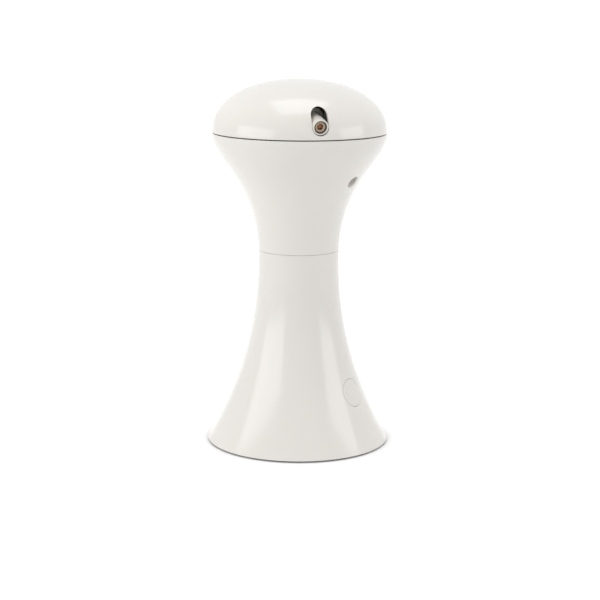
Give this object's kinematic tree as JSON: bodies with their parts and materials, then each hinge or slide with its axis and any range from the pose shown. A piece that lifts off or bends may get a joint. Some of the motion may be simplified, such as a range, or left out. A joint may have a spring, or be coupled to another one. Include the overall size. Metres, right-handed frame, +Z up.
{
  "type": "automatic cat laser toy",
  "caption": "Tall white cat toy: bell-shaped base, turning flared middle with a laser window, and a turning domed head with a tilting laser in a slot.",
  "frame": {"origin": "on the floor, below the axis that the middle and the head turn about", "axes": "+Z up along that axis; -Y is the side with the button; at rest the head's slot faces 43.8 degrees from -Y towards -X"},
  "size_m": [0.1114, 0.1114, 0.2215],
  "materials": {
    "gloss_white_shell": "glossy warm white moulded shell",
    "button_white": "glossy warm white button",
    "white_moulding": "satin off-white moulding",
    "acetal": "natural acetal",
    "rubber_pad": "soft dark rubber",
    "screw_steel": "plated steel",
    "motor_can": "drawn steel can",
    "gearbox_brass": "brass plates and gears",
    "cell_wrap": "plain dark film on a steel can",
    "contact_nickel": "nickel-plated spring steel",
    "circuit_board": "green solder mask",
    "black_moulding": "matte black moulding",
    "contact_copper": "copper contact rings",
    "barrel_ivory": "glossy ivory tube",
    "module_brass": "turned brass",
    "red_lens": "red glass lens"
  },
  "bodies": {
    "base": {"lower_shell": "gloss_white_shell", "base_plate": "white_moulding", "rubber_feet": "rubber_pad", "base_screws": "screw_steel", "battery_tray": "white_moulding", "tray_screws": "screw_steel", "aa_cells": "cell_wrap", "spring_contacts": "contact_nickel", "flat_contacts": "contact_nickel", "main_board": "circuit_board", "board_parts": "black_moulding", "switch_board": "circuit_board", "tact_switch": "black_moulding", "motor_frame": "white_moulding", "frame_screws": "screw_steel", "lower_gearbox": "gearbox_brass", "lower_motor": "motor_can", "neck_bush": "acetal", "contact_stem": "black_moulding", "contact_bands": "contact_copper"},
    "battery_cover": {"battery_cover": "white_moulding"},
    "button": {"button_cap": "button_white", "switch_plunger": "black_moulding"},
    "lower_pinion": {"lower_pinion": "acetal", "lower_motor_shaft": "screw_steel"},
    "middle": {"middle_shell": "gloss_white_shell", "rotor_hub": "acetal", "hub_screws": "screw_steel", "lower_ring_gear": "acetal", "stem_brushes": "black_moulding", "lower_laser_barrel": "barrel_ivory", "lower_laser_module": "module_brass", "lower_laser_lens": "red_lens", "deck_plate": "white_moulding", "deck_screws": "screw_steel", "head_spindle": "acetal", "spindle_screws": "screw_steel", "spindle_clip": "screw_steel", "thrust_washer": "screw_steel", "upper_gearbox": "gearbox_brass", "upper_motor": "motor_can", "track_brushes": "black_moulding"},
    "upper_pinion": {"upper_pinion": "acetal", "upper_motor_shaft": "screw_steel"},
    "head": {"head_dome": "gloss_white_shell", "head_floor": "white_moulding", "dome_screws": "screw_steel", "upper_ring_gear": "acetal", "gear_screws": "screw_steel", "head_bush": "acetal", "track_disc": "circuit_board", "tilt_bracket": "white_moulding", "bracket_screws": "screw_steel", "tilt_washers": "screw_steel", "driver_board": "circuit_board"},
    "upper_laser": {"upper_laser_barrel": "barrel_ivory", "trunnion_collar": "acetal", "upper_laser_module": "module_brass", "upper_laser_lens": "red_lens"}
  },
  "joints": [
    {"name": "battery_cover_turn", "type": "hinge", "parent": "base", "child": "battery_cover", "pos_m": [0, 0, 0.002], "axis": [0, 0, 1], "range_deg": [0, 20]},
    {"name": "button_press", "type": "slide", "parent": "base", "child": "button", "axis": [0, 0.93, -0.3676], "range_m": [0, 0.0008], "stiffness_N_per_m": 1500, "springref_m": -0.0004},
    {"name": "middle_spin", "type": "hinge", "parent": "base", "child": "middle", "pos_m": [0, 0, 0.115], "axis": [0, 0, 1], "continuous": true},
    {"name": "lower_pinion_spin", "type": "hinge", "parent": "base", "child": "lower_pinion", "pos_m": [0, 0.0112, 0.105], "axis": [0, 0, 1], "continuous": true},
    {"name": "head_spin", "type": "hinge", "parent": "middle", "child": "head", "pos_m": [0, 0, 0.188], "axis": [0, 0, 1], "continuous": true},
    {"name": "upper_pinion_spin", "type": "hinge", "parent": "middle", "child": "upper_pinion", "pos_m": [0, 0.0192, 0.186], "axis": [0, 0, 1], "continuous": true},
    {"name": "upper_laser_tilt", "type": "hinge", "parent": "head", "child": "upper_laser", "pos_m": [-0.01938, -0.02021, 0.20153], "axis": [-0.7218, 0.6921, 0], "range_deg": [0, 15]}
  ],
  "couplings": [
    {"joint": "lower_pinion_spin", "follows": "middle_spin", "ratio": 3.3333},
    {"joint": "upper_pinion_spin", "follows": "head_spin", "ratio": 5}
  ]
}
